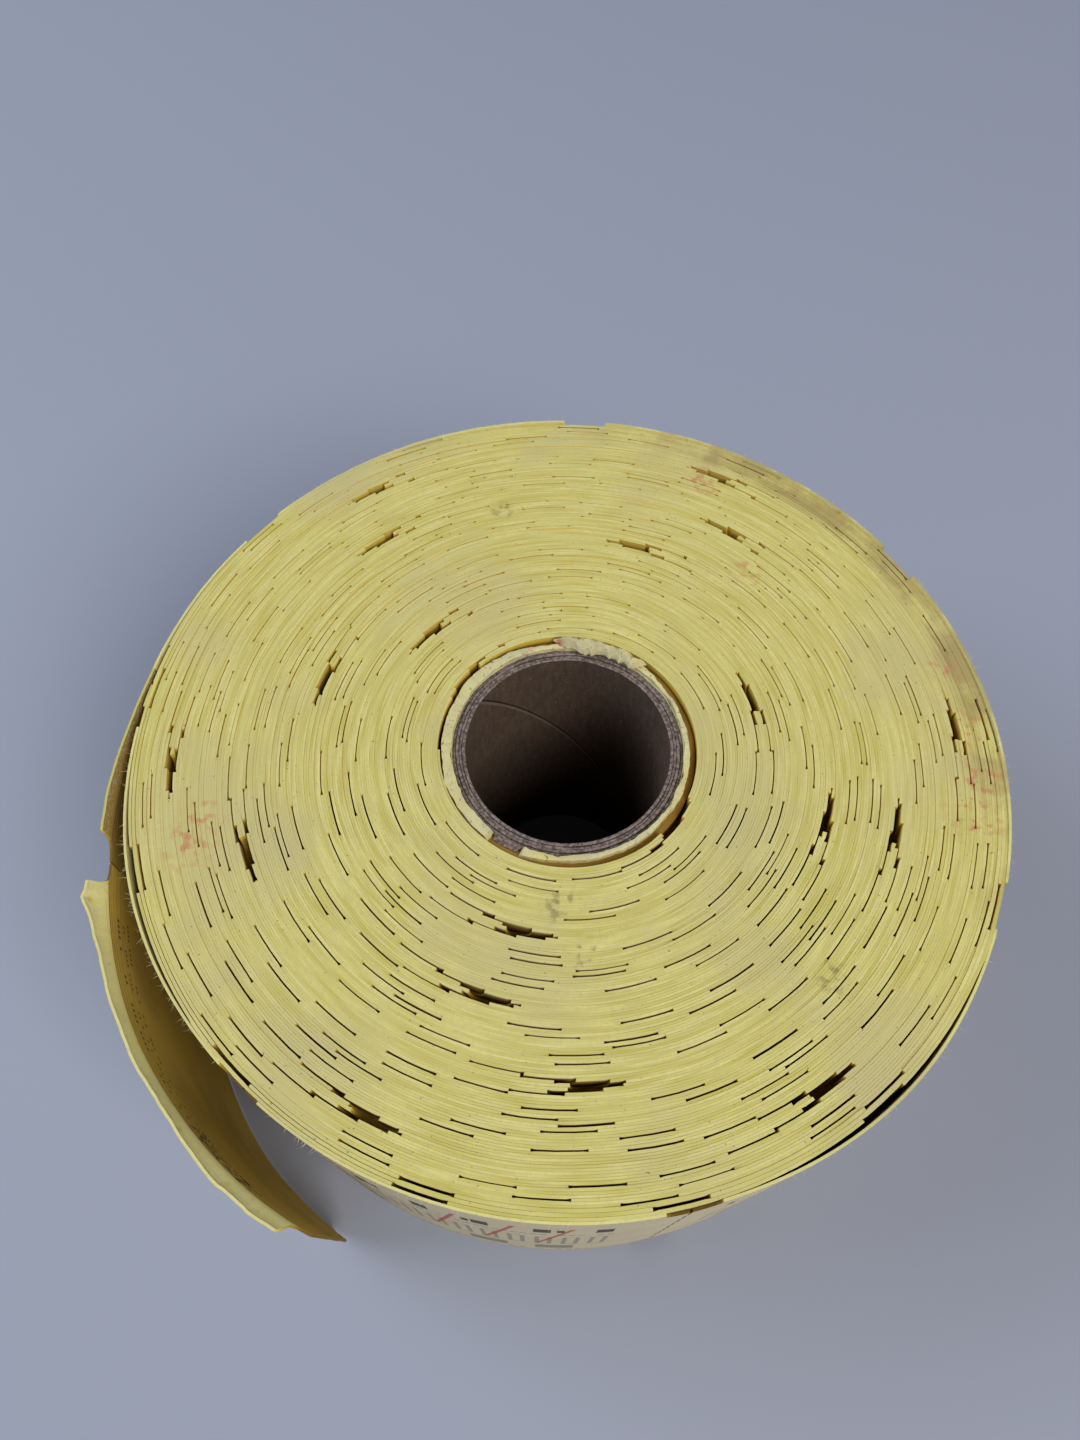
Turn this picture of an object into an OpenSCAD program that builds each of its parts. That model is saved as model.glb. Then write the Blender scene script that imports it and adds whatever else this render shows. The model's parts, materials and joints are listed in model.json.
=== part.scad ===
// Roll of perforated card tickets on a cardboard core, standing on its end.
// The origin is on the core's axis at the lower end, +Z is up, and lengths are in millimetres.

/* [Strip] */
// Length of one ticket, from perforation to perforation
ticket_pitch = 50.8; // [40:0.1:60]
// Width of the strip, which is the height of the standing roll
strip_w = 50.4; // [30:0.1:70]
// Thickness of the card as wound, as a mean over the whole roll
card_t = 0.30735; // [0.26:0.00005:0.36]

/* [Core] */
// Bore of the cardboard core
core_bore_d = 25.4; // [20:0.1:40]
// Thickness of one of the four cardboard plies
ply_t = 0.4; // [0.3:0.01:0.5]
// Number of plies between the bore and the outside of the core
plies = 4; // [4:1:4]
// How far the core's upper end lies below the edge of the strip
core_recess = 0.4; // [0:0.1:2]

/* [Starter paper] */
// Thickness of the glue stripe on the core
glue_t = 0.1; // [0.05:0.01:0.2]
// Thickness of the blank paper wound on the core ahead of the tickets
collar_t = 0.9; // [0.6:0.05:1.2]
// Height of the crumpled flap above the core's end
flap_h = 2.4; // [1:0.1:4]

/* [Wound tickets] */
// Gap between the starter paper and the first ticket
pack_gap = 0.5; // [0:0.1:1.5]
// Full bands of a hundred tickets wound on the roll
full_bands = 5; // [5:1:5]
// Whole turns between the last full band and the outermost turn
loose_turns = 3; // [2:1:5]

/* [Perforations] */
// Radius of the round notch in both edges of the strip at each perforation
notch_r = 3; // [1.5:0.1:4]
// Slits in one perforation line
slits = 9; // [5:1:11]
// Width of a slit, measured along the strip
slit_w = 0.3; // [0.2:0.05:0.8]
// Height of the uncut tie between two slits
tie_h = 1.2; // [0.8:0.1:2]

/* [Peeled end] */
// Angle around the roll at which the strip leaves it
peel_angle = 169; // [150:1:180]
// Length of strip from the peel line to the first perforation of the tail
peeled_len = 25.5; // [15:0.5:32]
// How far the tail has lifted from the roll at that perforation
peeled_lift = 2.45; // [2:0.05:4]
// How much further it has lifted at the torn end
end_lift = 4.2; // [1.5:0.1:5]
// How much longer the top edge of the torn end is than the bottom edge
tear_slant = 4; // [0:0.5:8]
// Height of the band along the last ticket's top edge that has curled outward
curl_h = 2.6; // [1.5:0.1:4]
// How far that top edge has curled outward
curl_out = 1.8; // [0.5:0.1:2.5]

/* [Hidden] */

$fn = 96;
eps = 0.01;
// Gap between pieces that move against each other
split = 0.3;

core_bore_r = core_bore_d / 2;
core_r = core_bore_r + plies * ply_t;
collar_in_r = core_r + glue_t;
collar_r = collar_in_r + collar_t;
core_len = strip_w - core_recess;
pack_start_r = collar_r + pack_gap;

// Each turn adds one card thickness, so a band's area is the side area of its tickets.
hundred_area = 100 * ticket_pitch * card_t / PI;
function band_r(hundreds) = sqrt(pow(pack_start_r, 2) + hundreds * hundred_area);
full_r = band_r(full_bands);
last_turns_r = full_r + loose_turns * card_t;

// The outermost turn is drawn in flat panels, which need a little room over the turn below.
turn_gap = 0.04;
turn_r = last_turns_r + turn_gap + card_t / 2;
ticket_angle = ticket_pitch / turn_r * 180 / PI;
outer_tickets = 6;
// It ends at the peel line, so its first ticket starts where the lengths add up.
part_angle = (ticket_pitch - peeled_len) / turn_r * 180 / PI;
start_angle = peel_angle - part_angle - outer_tickets * ticket_angle;
// How far the middle of each outer ticket has slackened off the roll
slack = [0.4, 0, 0.5, 0, 0, 0];
function slack_at(turned) =
    turned < 0 || turned >= outer_tickets * ticket_angle
        ? 0
        : slack[floor(turned / ticket_angle)] * pow(sin(180 * turned / ticket_angle), 2);

// The part ticket's far end has lifted so far that the tail clears the turn below.
peel_lift = 0.25;
peel_turned = outer_tickets * ticket_angle + part_angle;
peel_r = turn_r + card_t + peel_lift + slack_at(peel_turned - 360);
tail_bottom = 0.25;
peeled_angle = peeled_len / (peel_r + peeled_lift / 2) * 180 / PI;
fold_angle = peel_angle + peeled_angle;
fold_r = peel_r + peeled_lift;
end_angle = ticket_pitch / (fold_r + end_lift * 0.6) * 180 / PI;

// The first and last slits run a little way into the notches.
slit_start = notch_r - 0.2;
slit_step = (strip_w - 2 * slit_start + tie_h) / slits;
slit_h = slit_step - tie_h;
split_angle = split / fold_r * 180 / PI;

// Middle of the card after turning so far, over any slack in the turn below
function wound_r(turned) =
    turn_r + (card_t + turn_gap) * turned / 360 + slack_at(turned) + slack_at(turned - 360);
// The same at share u of the way along each stretch
function outer_path_r(number, u) = wound_r((number - 1 + u) * ticket_angle);
part_lift = card_t + peel_lift - (card_t + turn_gap) * peel_turned / 360;
function part_path_r(u) =
    wound_r(peel_turned - (1 - u) * part_angle) + part_lift * pow(u, 1.5);
function peeled_path_r(u) = peel_r + peeled_lift * pow(u, 1.35);
function end_path_r(u) = fold_r + end_lift * sin(90 * u);

function at(angle, r) = [r * cos(angle), r * sin(angle)];

// A curved strip of card on edge, through the path radii at equal steps of angle
module strip(from_angle, to_angle, path, bottom = 0, top = strip_w) {
    last = len(path) - 1;
    function angle(i) = from_angle + (to_angle - from_angle) * i / last;
    outside = [for (i = [0:last]) at(angle(i), path[i] + card_t / 2)];
    inside = [for (i = [last:-1:0]) at(angle(i), path[i] - card_t / 2)];
    translate([0, 0, bottom])
        linear_extrude(top - bottom)
            polygon(concat(outside, inside));
}

// The top band of the same strip, leaning outward. Each step has four corners round the card.
module curled_band(from_angle, to_angle, path, foot, lean) {
    last = len(path) - 1;
    sides = [[foot, 0, -1], [foot, 0, 1], [strip_w, lean, 1], [strip_w, lean, -1]];
    function angle(i) = from_angle + (to_angle - from_angle) * i / last;
    function corner(i, side) =
        concat(at(angle(i), path[i] + side[1] + side[2] * card_t / 2), [side[0]]);
    points = [for (i = [0:last]) for (side = sides) corner(i, side)];
    skin = [
        for (i = [0:last - 1]) for (k = [0:3])
            let (a = 4 * i + k, b = 4 * i + (k + 1) % 4)
                each [[a, b, a + 4], [b, b + 4, a + 4]]
    ];
    far = 4 * last;
    ends = [[0, 2, 1], [0, 3, 2], [far, far + 1, far + 2], [far, far + 2, far + 3]];
    polyhedron(points, concat(skin, ends));
}

// The cut-outs of one perforation line: a notch in each edge and a row of slits
module perforation(angle, r) {
    rotate(angle)
        translate([r, 0, 0]) {
            for (z = [0, strip_w])
                translate([0, 0, z])
                    rotate([0, 90, 0])
                        cylinder(r = notch_r, h = 6, center = true);
            for (i = [0:slits - 1])
                translate([-1, -slit_w / 2, slit_start + slit_step * i])
                    cube([2, slit_w, slit_h]);
        }
}

// A wound ring of card, with the pits where the notches of neighbouring turns line up
module ticket_band(inner_r, outer_r) {
    difference() {
        cylinder(r = outer_r, h = strip_w);
        translate([0, 0, -eps])
            cylinder(r = inner_r, h = strip_w + 2 * eps);
        for (n = [2:6])
            if (inner_r + 1 < pit_r(n) && pit_r(n) < outer_r - 1)
                notch_pits(n);
    }
}

// Notches line up where a turn is a whole number of tickets long.
function pit_r(n) = n * ticket_pitch / (2 * PI);

module notch_pits(n) {
    phase = 216 + n * ticket_pitch / (2 * card_t) * 180 / PI - 2 / n;
    for (i = [0:n - 1])
        rotate(phase + i * 360 / n)
            for (z = [0, strip_w])
                translate([pit_r(n), 0, z])
                    rotate([0, 90, 0])
                        cylinder(r = notch_r, h = 4 * card_t, center = true);
}

module ply(index) {
    inner_r = core_bore_r + index * ply_t;
    difference() {
        cylinder(r = inner_r + ply_t, h = core_len);
        translate([0, 0, -eps])
            cylinder(r = inner_r, h = core_len + 2 * eps);
    }
}

module core_ply_inner() {
    color("saddlebrown") ply(0);
}

module core_ply_second() {
    color("peru") ply(1);
}

module core_ply_third() {
    color("sienna") ply(2);
}

module core_ply_outer() {
    color("burlywood") ply(3);
}

// The stripe that holds the first turn of starter paper to the core
module core_glue_stripe() {
    glue_span = 70;
    color("goldenrod")
        translate([0, 0, 3])
            rotate_extrude(angle = glue_span, start = 200)
                translate([core_r, 0])
                    square([glue_t, core_len - 6]);
}

// Blank paper round the core, torn along its top edge on one side
module starter_collar() {
    tear_depth = 1.6;
    tear_half_angle = 11;
    tear_angle = 240;
    color("wheat")
        difference() {
            cylinder(r = collar_r, h = strip_w);
            translate([0, 0, -eps])
                cylinder(r = collar_in_r, h = strip_w + 2 * eps);
            translate([0, 0, strip_w - tear_depth])
                rotate_extrude(angle = 2 * tear_half_angle, start = tear_angle - tear_half_angle)
                    translate([core_r, 0])
                        square([collar_r, tear_depth + eps]);
        }
}

// The end of the starter paper, pushed up and crumpled above the collar
module starter_flap() {
    flap_t = 0.5;
    flap_span = 55;
    color("cornsilk")
        translate([0, 0, strip_w])
            rotate_extrude(angle = flap_span, start = 48)
                translate([collar_r - flap_t, 0])
                    polygon([[0, 0], [flap_t, 0], [flap_t - 0.4, flap_h], [-0.4, flap_h]]);
}

module tickets_001_100() {
    color("gold") ticket_band(pack_start_r, band_r(1));
}

module tickets_101_200() {
    color("khaki") ticket_band(band_r(1), band_r(2));
}

module tickets_201_300() {
    color("gold") ticket_band(band_r(2), band_r(3));
}

module tickets_301_400() {
    color("khaki") ticket_band(band_r(3), band_r(4));
}

module tickets_401_500() {
    color("gold") ticket_band(band_r(4), full_r);
}

module tickets_last_turns() {
    color("khaki") ticket_band(full_r, last_turns_r);
}

// One whole ticket of the outermost turn. The first starts near the peel line, a turn earlier.
module outer_ticket(number) {
    steps = 16;
    from_angle = start_angle + (number - 1) * ticket_angle;
    difference() {
        strip(
            from_angle, from_angle + ticket_angle,
            [for (i = [0:steps]) outer_path_r(number, i / steps)]
        );
        perforation(from_angle, turn_r);
        perforation(from_angle + ticket_angle, turn_r);
    }
}

module outer_ticket_1() {
    color("gold") outer_ticket(1);
}

module outer_ticket_2() {
    color("khaki") outer_ticket(2);
}

module outer_ticket_3() {
    color("gold") outer_ticket(3);
}

module outer_ticket_4() {
    color("khaki") outer_ticket(4);
}

module outer_ticket_5() {
    color("gold") outer_ticket(5);
}

module outer_ticket_6() {
    color("khaki") outer_ticket(6);
}

// The wound share of the ticket that has started to peel
module outer_ticket_part() {
    steps = 8;
    from_angle = peel_angle - part_angle;
    color("gold")
        difference() {
            strip(
                from_angle, peel_angle - split_angle,
                [for (i = [0:steps]) part_path_r(i / steps)]
            );
            perforation(from_angle, turn_r);
        }
}

// The peeled share of the same ticket, up to its perforation
module peeled_ticket() {
    steps = 8;
    color("orange")
        difference() {
            strip(
                peel_angle + split_angle, fold_angle - split_angle / 2,
                [for (i = [0:steps]) peeled_path_r(i / steps)],
                tail_bottom
            );
            perforation(fold_angle, fold_r);
        }
}

// The last ticket, torn off askew at its far perforation
module end_ticket() {
    steps = 16;
    from_angle = fold_angle + split_angle / 2;
    to_angle = fold_angle + end_angle;
    path = [for (i = [0:steps]) end_path_r(i / steps)];
    color("darkorange")
        difference() {
            union() {
                strip(from_angle, to_angle, path, tail_bottom, strip_w - curl_h);
                curled_band(from_angle, to_angle, path, strip_w - curl_h, curl_out);
            }
            perforation(fold_angle, fold_r);
            torn_edge();
        }
}

// What the slanting tear takes off the last ticket
module torn_edge() {
    rotate(fold_angle + end_angle)
        translate([fold_r + end_lift, 0, 0])
            rotate([90, 0, 90])
                linear_extrude(8, center = true)
                    polygon([
                        [-tear_slant, -1], [0, strip_w + 1],
                        [8, strip_w + 1], [8, -1]
                    ]);
}

core_ply_inner();
core_ply_second();
core_ply_third();
core_ply_outer();
core_glue_stripe();
starter_collar();
starter_flap();
tickets_001_100();
tickets_101_200();
tickets_201_300();
tickets_301_400();
tickets_401_500();
tickets_last_turns();
outer_ticket_1();
outer_ticket_2();
outer_ticket_3();
outer_ticket_4();
outer_ticket_5();
outer_ticket_6();
outer_ticket_part();
peeled_ticket();
end_ticket();
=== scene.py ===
"""The looks of a roll of card tickets that stands on its end, with its free end peeled off."""

import json
import math
import random

import bpy
import numpy as np
from mathutils import Matrix, Vector, noise


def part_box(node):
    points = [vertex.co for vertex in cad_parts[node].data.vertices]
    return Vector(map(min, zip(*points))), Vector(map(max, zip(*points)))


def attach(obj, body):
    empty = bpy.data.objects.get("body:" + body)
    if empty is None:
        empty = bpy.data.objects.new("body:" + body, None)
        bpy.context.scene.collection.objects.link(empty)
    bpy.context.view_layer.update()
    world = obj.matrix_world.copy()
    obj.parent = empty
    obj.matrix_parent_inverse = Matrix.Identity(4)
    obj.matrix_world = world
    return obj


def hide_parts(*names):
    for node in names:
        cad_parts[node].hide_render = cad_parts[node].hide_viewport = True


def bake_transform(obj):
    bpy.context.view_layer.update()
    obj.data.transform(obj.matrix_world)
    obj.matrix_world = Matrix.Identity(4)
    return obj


MM = 0.001
SEED = 7

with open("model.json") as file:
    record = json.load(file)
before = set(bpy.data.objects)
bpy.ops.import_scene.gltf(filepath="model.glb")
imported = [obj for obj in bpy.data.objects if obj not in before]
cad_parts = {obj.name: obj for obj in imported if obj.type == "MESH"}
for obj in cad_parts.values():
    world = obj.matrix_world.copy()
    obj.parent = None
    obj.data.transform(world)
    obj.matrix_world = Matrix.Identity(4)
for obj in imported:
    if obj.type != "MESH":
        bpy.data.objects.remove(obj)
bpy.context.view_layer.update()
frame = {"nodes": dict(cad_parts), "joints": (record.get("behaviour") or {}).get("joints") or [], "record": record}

# ---------------------------------------------------------------- sizes, in millimetres

TICKET_PITCH = 50.8
CARD_T = 0.30735  # one turn's growth in radius
CARD_DRAWN_T = 0.297  # the card itself, so that a fine gap is left between turns
NOTCH_R = 3.0
SLITS = 9
SLIT_W = 0.3
TIE_H = 1.2
SLIT_START = NOTCH_R - 0.2  # the end slits run a little way into the notches


def top_of(node):
    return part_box(node)[1].z / MM


def outer_radius(node):
    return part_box(node)[1].x / MM


def mount(name):
    return next(m for m in frame["record"]["mounts"] if m["name"] == name)


def joint(name):
    return next(j for j in frame["joints"] if j["name"] == name)


def angle_and_radius(point):
    """The angle in degrees, 0 to 360, and the radius in mm of a point given in metres."""
    angle = math.degrees(math.atan2(point[1], point[0])) % 360
    return angle, math.hypot(point[0], point[1]) / MM


STRIP_W = top_of("tickets_001_100")
CORE_TOP = top_of("core_ply_inner")
BORE_R = mount("core_bore")["dims"]["r_mm"]
PLIES = ["core_ply_inner", "core_ply_second", "core_ply_third", "core_ply_outer"]
BANDS = [
    "tickets_001_100",
    "tickets_101_200",
    "tickets_201_300",
    "tickets_301_400",
    "tickets_401_500",
    "tickets_last_turns",
]
CORE_R = outer_radius("core_ply_outer")
COLLAR_R = outer_radius("starter_collar")
PACK_START_R = COLLAR_R + 0.5
PACK_R = outer_radius("tickets_last_turns")

# The path of the strip, as in part.scad
TURN_GAP = 0.04
TAIL_BOTTOM = 0.25
TEAR_SLANT = 4.0
TORN_CORNER_R = NOTCH_R - 0.2  # half a notch, left at the torn end of the strip
SLACK = [0.4, 0, 0.5, 0, 0, 0]
OUTER_TICKETS = len(SLACK)
PEEL_ANGLE, PEEL_R = angle_and_radius(joint("peel_line")["pos_m"])
FOLD_ANGLE, FOLD_AXIS_R = angle_and_radius(joint("end_perforation")["pos_m"])
FOLD_R = FOLD_AXIS_R - CARD_T / 2
END_LIFT = 4.2
TURN_R = PACK_R + TURN_GAP + CARD_T / 2
TICKET_ANGLE = math.degrees(TICKET_PITCH / TURN_R)
PEELED_ANGLE = FOLD_ANGLE - PEEL_ANGLE
PEELED_LEN = math.radians(PEELED_ANGLE) * (PEEL_R + (FOLD_R - PEEL_R) / 2)
PART_ANGLE = math.degrees((TICKET_PITCH - PEELED_LEN) / TURN_R)
START_ANGLE = PEEL_ANGLE - PART_ANGLE - OUTER_TICKETS * TICKET_ANGLE
END_ANGLE = math.degrees(TICKET_PITCH / (FOLD_R + END_LIFT * 0.6))

# Where the notches of neighbouring turns line up
NOTCH_PHASE_ANGLE = 216.0
NOTCH_PHASE_S = -0.28

# ---------------------------------------------------------------- small helpers


def smoothstep(t):
    t = np.clip(t, 0.0, 1.0)
    return t * t * (3 - 2 * t)


def wobble(x, y, z):
    """Smooth noise of one point, about -1 to 1."""
    return noise.noise(Vector((x, y, z)))


def wobbles(*coordinates):
    """wobble() of arrays."""
    parts = np.broadcast_arrays(*coordinates)
    flat = [np.ravel(p) for p in parts]
    values = [wobble(*map(float, point)) for point in zip(*flat)]
    return np.array(values).reshape(parts[0].shape)


def polar(angle, r):
    a = np.radians(angle)
    return r * np.cos(a), r * np.sin(a)


def make_piece(name, points_mm, faces, body, node, materials, face_materials=None):
    """A mesh object in the row frame. It rides on body and stands for the CAD node."""
    mesh = bpy.data.meshes.new(name)
    mesh.from_pydata((np.asarray(points_mm) * MM).tolist(), [], faces)
    for material in materials:
        mesh.materials.append(material)
    if face_materials is not None:
        mesh.polygons.foreach_set("material_index", np.asarray(face_materials, np.int32))
    mesh.update()
    piece = bpy.data.objects.new(name, mesh)
    bpy.context.collection.objects.link(piece)
    if body is not None:
        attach(piece, body)
    if node is not None:
        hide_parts(node)
    return piece


def set_tone(piece, tones):
    """Stores one number per vertex that the materials read as Tone."""
    attribute = piece.data.attributes.new("Tone", "FLOAT", "POINT")
    attribute.data.foreach_set("value", np.asarray(tones, np.float32))


def set_uv(piece, uv):
    """Stores a place on the strip, in tickets along it and widths up it, for each vertex."""
    layer = piece.data.uv_layers.new(name="Strip")
    corners = np.zeros(len(piece.data.loops), np.int32)
    piece.data.loops.foreach_get("vertex_index", corners)
    layer.data.foreach_set("uv", np.asarray(uv, np.float32)[corners].ravel())


# ---------------------------------------------------------------- node materials


class Nodes:
    """Short ways to build a material's node tree."""

    def __init__(self, name, roughness=0.85, specular=0.25):
        self.material = bpy.data.materials.new(name)
        self.material.use_nodes = True
        self.tree = self.material.node_tree
        self.shader = self.tree.nodes["Principled BSDF"]
        self.shader.inputs["Roughness"].default_value = roughness
        self.shader.inputs["Specular IOR Level"].default_value = specular

    def new(self, kind, **settings):
        node = self.tree.nodes.new(kind)
        for key, value in settings.items():
            setattr(node, key, value)
        return node

    def plug(self, value, socket):
        if isinstance(value, bpy.types.NodeSocket):
            self.tree.links.new(value, socket)
        else:
            socket.default_value = value

    def math(self, operation, a, b=0.0):
        node = self.new("ShaderNodeMath", operation=operation)
        self.plug(a, node.inputs[0])
        self.plug(b, node.inputs[1])
        return node.outputs[0]

    def between(self, value, low, high):
        """1 where value lies from low to high."""
        above = self.math("GREATER_THAN", value, low)
        below = self.math("LESS_THAN", value, high)
        return self.math("MULTIPLY", above, below)

    def ramp(self, value, low, high):
        """0 at low, 1 at high, smooth between."""
        node = self.new("ShaderNodeMapRange", interpolation_type="SMOOTHSTEP")
        self.plug(value, node.inputs["Value"])
        node.inputs["From Min"].default_value = low
        node.inputs["From Max"].default_value = high
        return node.outputs["Result"]

    def mix(self, share, a, b):
        node = self.new("ShaderNodeMix", data_type="RGBA")
        self.plug(share, node.inputs[0])
        self.plug(a, node.inputs[6])
        self.plug(b, node.inputs[7])
        return node.outputs[2]

    def tint(self, color, mask, share, over):
        """Lays another colour over a colour where mask is 1, as strongly as share says."""
        return self.mix(self.math("MULTIPLY", mask, share), color, over)

    def split(self, vector):
        """The X, Y and Z of a vector."""
        node = self.new("ShaderNodeSeparateXYZ")
        self.plug(vector, node.inputs[0])
        return node.outputs

    def position(self):
        return self.new("ShaderNodeTexCoord").outputs["Object"]

    def noise(self, scale, detail=2.0, vector=None, roughness=0.5):
        """Noise from 0 to 1 in features of about 1 / scale metres."""
        node = self.new("ShaderNodeTexNoise")
        self.plug(vector if vector is not None else self.position(), node.inputs["Vector"])
        node.inputs["Scale"].default_value = scale
        node.inputs["Detail"].default_value = detail
        node.inputs["Roughness"].default_value = roughness
        return node.outputs["Fac"]

    def stretched(self, x, y, z):
        """Object coordinates scaled by axis."""
        node = self.new("ShaderNodeMapping")
        self.plug(self.position(), node.inputs["Vector"])
        node.inputs["Scale"].default_value = (x, y, z)
        return node.outputs["Vector"]

    def radius(self):
        """Distance of the point from the roll's axis, in mm"""
        place = self.split(self.position())
        squares = [self.math("MULTIPLY", place[k], place[k]) for k in "XY"]
        return self.math("DIVIDE", self.math("SQRT", self.math("ADD", *squares)), MM)

    def depth(self):
        """How far the point lies inside the nearer end of the roll, in mm"""
        up = self.math("DIVIDE", self.split(self.position())["Z"], MM)
        off_middle = self.math("ABSOLUTE", self.math("SUBTRACT", up, STRIP_W / 2))
        return self.math("SUBTRACT", STRIP_W / 2, off_middle)

    def tone(self):
        return self.new("ShaderNodeAttribute", attribute_name="Tone").outputs["Fac"]

    def strip_place(self):
        """How far along the strip and up it a point is, in mm."""
        uv = self.split(self.new("ShaderNodeUVMap", uv_map="Strip").outputs["UV"])
        along = self.math("MULTIPLY", uv["X"], TICKET_PITCH)
        up = self.math("MULTIPLY", uv["Y"], STRIP_W)
        return along, up

    def bump(self, height, strength, distance_mm):
        node = self.new("ShaderNodeBump")
        self.plug(height, node.inputs["Height"])
        node.inputs["Strength"].default_value = strength
        node.inputs["Distance"].default_value = distance_mm * MM
        self.plug(node.outputs["Normal"], self.shader.inputs["Normal"])

    def finish(self, color):
        self.plug(color, self.shader.inputs["Base Color"])
        return self.material


def rgb(red, green, blue):
    """A linear colour from sRGB values of 0 to 255."""

    def linear(value):
        value /= 255
        return value / 12.92 if value <= 0.04045 else ((value + 0.055) / 1.055) ** 2.4

    return (linear(red), linear(green), linear(blue), 1.0)


def darkened(color, share):
    return tuple(c * share for c in color[:3]) + (1.0,)


EDGE_PALE = rgb(230, 220, 142)
EDGE_DEEP = rgb(202, 190, 92)
EDGE_DUSTY = rgb(206, 194, 134)
EDGE_BROWNED = rgb(166, 142, 92)
# Painted shade inside the roll's end: gold a little way in, brown deeper in
SHALLOW_PAINTED_SHADE = rgb(190, 158, 56)
DEEP_PAINTED_SHADE = rgb(128, 98, 28)
FACE_YELLOW = rgb(228, 196, 84)
FACE_SHADED = rgb(140, 112, 58)
FACE_CREAM = rgb(212, 198, 164)
INK_BLACK = rgb(40, 38, 36)
INK_GREY = rgb(140, 134, 120)
INK_RED = rgb(176, 74, 66)
STAIN_PINK = rgb(206, 138, 96)
DIRT = rgb(96, 88, 60)


def stain_spots(nodes, spots):
    """A mask of soft, broken blots. Each spot is its angle, radius and size in mm, on top."""
    total = 0.0
    for angle, radius, size in spots:
        x, y = polar(angle, radius * MM)
        away = nodes.new("ShaderNodeVectorMath", operation="DISTANCE")
        nodes.plug(nodes.position(), away.inputs[0])
        away.inputs[1].default_value = (x, y, STRIP_W * MM)
        blot = nodes.ramp(away.outputs["Value"], size * MM, size * 0.2 * MM)
        total = nodes.math("MAXIMUM", total, blot)
    broken = nodes.ramp(nodes.noise(900, 4.0), 0.48, 0.66)
    return nodes.math("MULTIPLY", total, broken)


# Stains on the upper end: angle, radius and size
PINK_SPOTS = [
    (197, 46.5, 4.6), (193, 44.5, 3.4), (350, 49.5, 5), (356, 50.5, 4.4),
    (4, 50, 4), (14, 50, 3.2), (48, 36, 3), (66, 47, 4),
]
DIRTY_SPOTS = [(268, 20.5, 3.2), (274, 26, 2.6), (240, 50, 1.0), (104, 38, 2.2), (316, 41, 2.6)]
COLLAR_SPOTS = [(96, 15.4, 2.0), (112, 14.7, 1.6)]


def wound_edge_material():
    """The cut edges of the card and its yellow inner face"""
    nodes = Nodes("card_edge")
    tone = nodes.tone()
    # Tone: random by turn on the wound card, painted shade on the tickets
    color = nodes.mix(nodes.ramp(tone, 0.1, 0.9), EDGE_DEEP, EDGE_PALE)
    color = nodes.mix(nodes.ramp(nodes.noise(45, 3.0), 0.45, 0.72), color, EDGE_DUSTY)
    grain = nodes.ramp(nodes.noise(1700, 5.0, roughness=0.75), 0.44, 0.62)
    color = nodes.tint(color, grain, 0.42, EDGE_DUSTY)
    normal = nodes.new("ShaderNodeNewGeometry").outputs["True Normal"]
    flat = nodes.math("ABSOLUTE", nodes.split(normal)["Z"])
    color = nodes.mix(nodes.ramp(flat, 0.3, 0.6), FACE_YELLOW, color)
    rim = nodes.ramp(nodes.radius(), 48.5, 51.5)
    toward = nodes.new("ShaderNodeVectorMath", operation="DOT_PRODUCT")
    nodes.plug(nodes.position(), toward.inputs[0])
    toward.inputs[1].default_value = (0.85, 0.53, 0.0)
    side = nodes.ramp(toward.outputs["Value"], 0.024, 0.044)
    patches = nodes.ramp(nodes.noise(90, 5.0, roughness=0.65), 0.38, 0.60)
    browned = nodes.math("MULTIPLY", nodes.math("MULTIPLY", rim, side), patches)
    color = nodes.tint(color, browned, 0.7, EDGE_BROWNED)
    # Painted shade: the deeper a point lies inside the roll's end, in the notches and between the turns, the more
    # gold and then brown it turns
    depth = nodes.depth()
    color = nodes.mix(nodes.ramp(depth, 0.5, 1.3), color, SHALLOW_PAINTED_SHADE)
    color = nodes.mix(nodes.ramp(depth, 1.3, 3.0), color, DEEP_PAINTED_SHADE)
    speck = nodes.ramp(nodes.noise(2600, 2.0), 0.70, 0.76)
    color = nodes.tint(color, speck, 0.65, DIRT)
    pink = stain_spots(nodes, PINK_SPOTS)
    color = nodes.tint(color, pink, 0.8, STAIN_PINK)
    dirt = stain_spots(nodes, DIRTY_SPOTS)
    color = nodes.tint(color, dirt, 0.6, DIRT)
    nodes.bump(nodes.noise(5200, 3.0), 0.35, 0.05)
    return nodes.finish(color)


def fibre_bump(nodes):
    nodes.bump(nodes.noise(2400, 4.0), 0.25, 0.05)


def card_face_material(name, ground):
    """A plain face of the card, with faint clouding"""
    nodes = Nodes(name)
    cloud = nodes.ramp(nodes.noise(160, 4.0), 0.35, 0.75)
    fibre_bump(nodes)
    return nodes.finish(nodes.mix(cloud, ground, darkened(ground, 0.86)))


def wound_face_material():
    """The outer face of the wound card, seen only as the walls of the notches"""
    nodes = Nodes("card_wound_face")
    # Painted shade: the notch walls turn brown, then dark brown, the deeper they lie
    depth = nodes.depth()
    color = nodes.mix(nodes.ramp(depth, 0.1, 0.8), FACE_CREAM, rgb(150, 116, 46))
    color = nodes.mix(nodes.ramp(depth, 0.8, 2.6), color, rgb(84, 60, 22))
    fibre_bump(nodes)
    return nodes.finish(color)


def place_on_ticket(nodes, along):
    """Distance from the start of the ticket, in mm"""
    shifted = nodes.math("ADD", along, 50 * TICKET_PITCH)
    return nodes.math("MODULO", shifted, TICKET_PITCH)


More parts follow.
